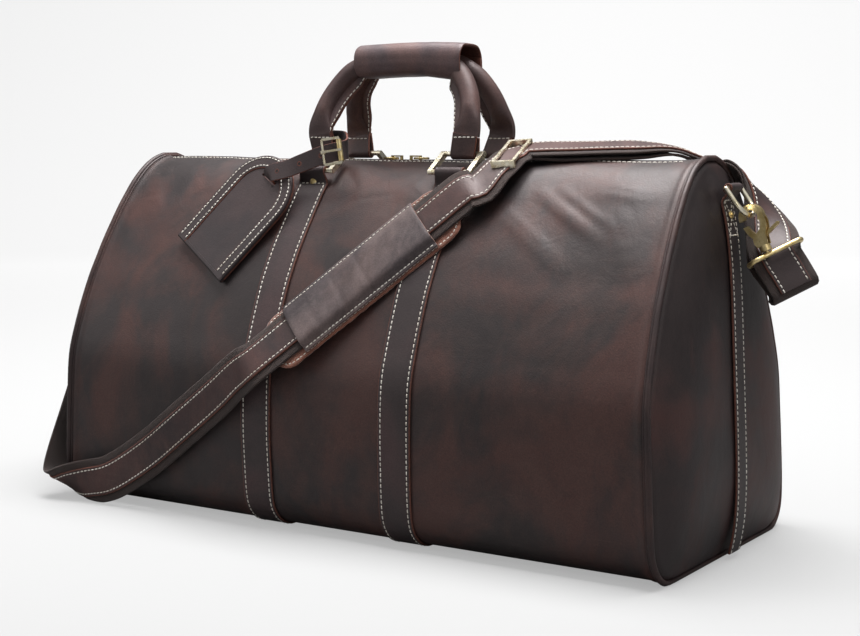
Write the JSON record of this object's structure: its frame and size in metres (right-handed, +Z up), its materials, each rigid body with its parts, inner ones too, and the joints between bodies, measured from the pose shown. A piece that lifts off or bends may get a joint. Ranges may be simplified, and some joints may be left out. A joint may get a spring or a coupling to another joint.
{
  "type": "duffel bag",
  "caption": "Leather duffel bag with rolled handles under a press-stud wrap, a two-slider zip, a buckled luggage tag and a clip-on shoulder strap with a sliding pad.",
  "frame": {"origin": "on the ground at the middle of the base", "axes": "+X along the bag to the end with the strap's turn-back, -Y the front with the luggage tag, +Z up"},
  "size_m": [0.6494, 0.2587, 0.3783],
  "materials": {
    "leather": "waxed full-grain, worn",
    "leather_trim": "waxed full-grain, stitched",
    "leather_handle": "waxed full-grain, rolled",
    "leather_strap": "waxed full-grain, creased",
    "leather_tag": "waxed full-grain, embossed",
    "suede": "rough suede",
    "lining": "plain twill",
    "webbing": "heavy twill webbing",
    "zip_tape": "woven tape",
    "board": "pressed board",
    "core": "cotton rope",
    "brass": "antique, lightly worn",
    "zip_brass": "antique"
  },
  "bodies": {
    "bag_body": {"front_panel": "leather", "back_panel": "leather", "base_panel": "leather", "end_panel_left": "leather", "end_panel_right": "leather", "piping_left": "leather_trim", "piping_right": "leather_trim", "lining": "lining", "base_board": "board", "inner_pocket": "lining", "zip_tape_front": "zip_tape", "zip_tape_back": "zip_tape", "zip_teeth_front": "zip_brass", "zip_teeth_back": "zip_brass", "zip_end_tabs": "leather_trim", "strip_front_left": "leather_trim", "strip_front_right": "leather_trim", "strip_back_left": "leather_trim", "strip_back_right": "leather_trim", "handle_rivets": "brass", "end_strip_left": "leather_trim", "end_strip_right": "leather_trim", "end_rivets": "brass", "hook_eye_left": "brass", "hook_eye_right": "brass", "strap_webbing": "webbing", "strap_facing": "leather_strap", "strap_adjuster": "brass"},
    "ring_front_left": {"ring_front_left": "brass"},
    "ring_front_right": {"ring_front_right": "brass"},
    "ring_back_left": {"ring_back_left": "brass"},
    "ring_back_right": {"ring_back_right": "brass"},
    "front_handle": {"front_handle_cover": "leather_handle", "front_handle_core": "core", "wrap_grip": "leather_handle", "wrap_studs": "brass"},
    "back_handle": {"back_handle_cover": "leather_handle", "back_handle_core": "core"},
    "wrap_flap": {"wrap_flap": "leather_handle", "wrap_caps": "brass"},
    "zip_slider_left": {"zip_slider_left": "zip_brass"},
    "zip_slider_right": {"zip_slider_right": "zip_brass"},
    "zip_pull_left": {"zip_pull_left": "zip_brass"},
    "zip_pull_right": {"zip_pull_right": "zip_brass"},
    "d_ring_left": {"d_ring_left": "brass"},
    "d_ring_right": {"d_ring_right": "brass"},
    "hook_left": {"hook_body_left": "brass", "hook_pins_left": "brass"},
    "hook_right": {"hook_body_right": "brass", "hook_pins_right": "brass"},
    "lever_left": {"hook_lever_left": "brass"},
    "lever_right": {"hook_lever_right": "brass"},
    "shoulder_pad": {"pad_base": "suede", "pad_sleeve": "leather_strap"},
    "tag_loop": {"tag_strap": "leather_tag", "tag_buckle_frame": "brass"},
    "tag_roller": {"tag_buckle_roller": "brass"},
    "tag_prong": {"tag_buckle_prong": "brass"},
    "luggage_tag": {"tag_back": "leather_tag", "tag_front": "leather_tag"}
  },
  "joints": [
    {"name": "front_ring_left_fold", "type": "hinge", "parent": "bag_body", "child": "ring_front_left", "pos_m": [-0.065, -0.043, 0.278], "axis": [1, 0, 0], "range_deg": [0, 100]},
    {"name": "front_ring_right_fold", "type": "hinge", "parent": "bag_body", "child": "ring_front_right", "pos_m": [0.065, -0.043, 0.278], "axis": [1, 0, 0], "range_deg": [0, 100]},
    {"name": "front_handle_fold", "type": "hinge", "parent": "ring_front_left", "child": "front_handle", "pos_m": [-0.065, -0.024, 0.2915], "axis": [1, 0, 0], "range_deg": [0, 25], "deforming": ["wrap_grip", "wrap_flap", "wrap_studs", "wrap_caps", "tag_strap"]},
    {"name": "back_ring_left_fold", "type": "hinge", "parent": "bag_body", "child": "ring_back_left", "pos_m": [-0.065, 0.043, 0.278], "axis": [-1, 0, 0], "range_deg": [0, 100]},
    {"name": "back_ring_right_fold", "type": "hinge", "parent": "bag_body", "child": "ring_back_right", "pos_m": [0.065, 0.043, 0.278], "axis": [-1, 0, 0], "range_deg": [0, 100]},
    {"name": "back_handle_fold", "type": "hinge", "parent": "ring_back_left", "child": "back_handle", "pos_m": [-0.065, 0.024, 0.2915], "axis": [-1, 0, 0], "range_deg": [0, 25]},
    {"name": "wrap_flap_open", "type": "hinge", "parent": "front_handle", "child": "wrap_flap", "pos_m": [0, -0.00195, 0.3784], "axis": [1, 0, 0], "range_deg": [0, 130]},
    {"name": "zip_slide_left", "type": "slide", "parent": "bag_body", "child": "zip_slider_left", "axis": [-1, 0, 0], "range_m": [0, 0.222]},
    {"name": "zip_slide_right", "type": "slide", "parent": "bag_body", "child": "zip_slider_right", "axis": [1, 0, 0], "range_m": [0, 0.23]},
    {"name": "zip_pull_left_lift", "type": "hinge", "parent": "zip_slider_left", "child": "zip_pull_left", "pos_m": [-0.013, 0, 0.28772], "axis": [0, -1, 0], "range_deg": [-110, 0]},
    {"name": "zip_pull_right_lift", "type": "hinge", "parent": "zip_slider_right", "child": "zip_pull_right", "pos_m": [0.005, 0, 0.28772], "axis": [0, 1, 0], "range_deg": [-110, 0]},
    {"name": "d_ring_left_tilt", "type": "hinge", "parent": "bag_body", "child": "d_ring_left", "pos_m": [-0.277, 0, 0.268], "axis": [0, 1, 0], "range_deg": [-4, 4]},
    {"name": "d_ring_right_tilt", "type": "hinge", "parent": "bag_body", "child": "d_ring_right", "pos_m": [0.277, 0, 0.268], "axis": [0, -1, 0], "range_deg": [-4, 4]},
    {"name": "hook_left_swivel", "type": "hinge", "parent": "bag_body", "child": "hook_left", "pos_m": [-0.29134, 0, 0.24791], "axis": [-0.4384, 0, -0.8988], "range_deg": [-12, 12]},
    {"name": "hook_right_swivel", "type": "hinge", "parent": "bag_body", "child": "hook_right", "pos_m": [0.29134, 0, 0.24791], "axis": [0.4384, 0, -0.8988], "range_deg": [-12, 12]},
    {"name": "hook_left_lever", "type": "hinge", "parent": "hook_left", "child": "lever_left", "pos_m": [-0.29771, 0, 0.23143], "axis": [0, -1, 0], "range_deg": [0, 18]},
    {"name": "hook_right_lever", "type": "hinge", "parent": "hook_right", "child": "lever_right", "pos_m": [0.29771, 0, 0.23143], "axis": [0, 1, 0], "range_deg": [0, 18]},
    {"name": "pad_slide", "type": "slide", "parent": "bag_body", "child": "shoulder_pad", "axis": [0.7009, 0.3338, 0.6304], "range_m": [-0.01, 0.01]},
    {"name": "tag_loop_level", "type": "hinge", "parent": "front_handle", "child": "tag_loop", "pos_m": [-0.065, -0.026, 0.299], "axis": [1, 0, 0], "range_deg": [-125, 0]},
    {"name": "tag_swing", "type": "hinge", "parent": "tag_loop", "child": "luggage_tag", "pos_m": [-0.099, -0.0558, 0.2707], "axis": [-1, 0, 0], "range_deg": [0, 40]},
    {"name": "tag_roller_spin", "type": "hinge", "parent": "tag_loop", "child": "tag_roller", "pos_m": [-0.03143, -0.05328, 0.29446], "axis": [-0.198, 0.051, 0.9789], "continuous": true},
    {"name": "tag_prong_lift", "type": "hinge", "parent": "tag_loop", "child": "tag_prong", "pos_m": [-0.04314, -0.05968, 0.29242], "axis": [-0.198, 0.051, 0.9789], "range_deg": [-30, 0]}
  ],
  "couplings": [
    {"joint": "front_ring_right_fold", "follows": "front_ring_left_fold", "ratio": 1},
    {"joint": "front_handle_fold", "follows": "front_ring_left_fold", "ratio": 0.25},
    {"joint": "tag_loop_level", "follows": "front_ring_left_fold", "ratio": -1.25},
    {"joint": "back_ring_right_fold", "follows": "back_ring_left_fold", "ratio": 1},
    {"joint": "back_handle_fold", "follows": "back_ring_left_fold", "ratio": 0.25}
  ]
}
